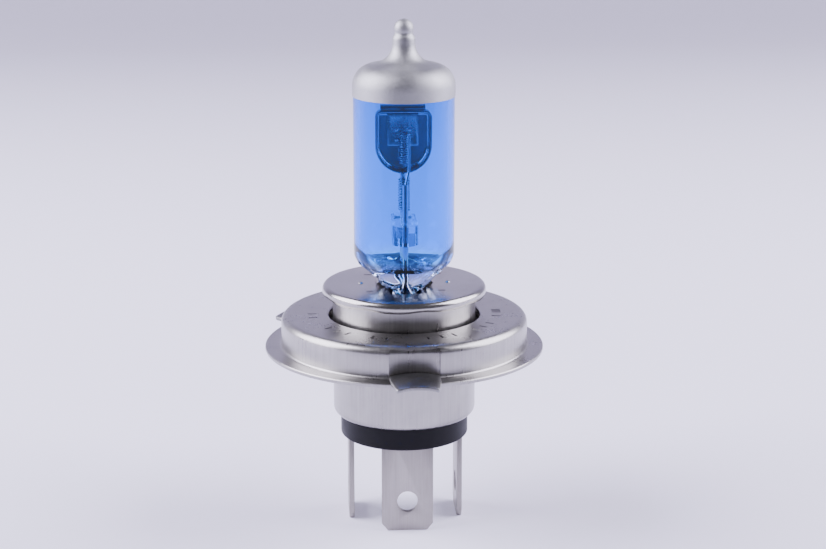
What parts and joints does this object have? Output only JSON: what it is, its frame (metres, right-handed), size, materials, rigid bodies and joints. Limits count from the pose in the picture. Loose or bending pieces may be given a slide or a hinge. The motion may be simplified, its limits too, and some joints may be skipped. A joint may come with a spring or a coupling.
{
  "type": "headlight bulb",
  "caption": "Halogen headlight bulb: blue quartz tube with silvered dome and press seal, in a flanged metal cap with lugs, an insulator and flat blades with round holes.",
  "frame": {"origin": "on the lamp axis, in the plane of the flange's seating face", "axes": "+Z along the lamp axis to the exhaust tip; -Y to the front blade and the front lug; +X to the right when seen from the front"},
  "size_m": [0.043, 0.0462, 0.078],
  "materials": {
    "blue_quartz": "clear blue-tinted quartz, glossy",
    "clear_quartz": "clear quartz",
    "silver_coating": "satin silver",
    "tungsten": "dull drawn wire",
    "molybdenum": "bright drawn and pressed sheet",
    "plated_steel": "nickel plated, satin, finely brushed",
    "blade_metal": "matt tinned",
    "black_insulator": "moulded, near black, satin"
  },
  "bodies": {
    "root": {"glass_envelope": "blue_quartz", "dome_coating": "silver_coating", "quartz_bridge": "clear_quartz", "low_beam_filament": "tungsten", "high_beam_filament": "tungsten", "beam_shield": "molybdenum", "shield_bar": "molybdenum", "low_beam_lead": "molybdenum", "high_beam_lead": "molybdenum", "common_lead": "molybdenum", "seal_foil_low": "molybdenum", "seal_foil_high": "molybdenum", "seal_foil_common": "molybdenum", "outer_lead_low": "molybdenum", "outer_lead_high": "molybdenum", "outer_lead_common": "molybdenum", "holder_disc": "plated_steel", "pinch_clamp": "plated_steel", "holder_sleeve": "plated_steel", "carrier_ring": "plated_steel", "focus_ring": "plated_steel", "base_shell": "plated_steel", "insulator_disc": "black_insulator", "low_beam_blade": "blade_metal", "high_beam_blade": "blade_metal", "common_blade": "blade_metal"}
  },
  "joints": []
}
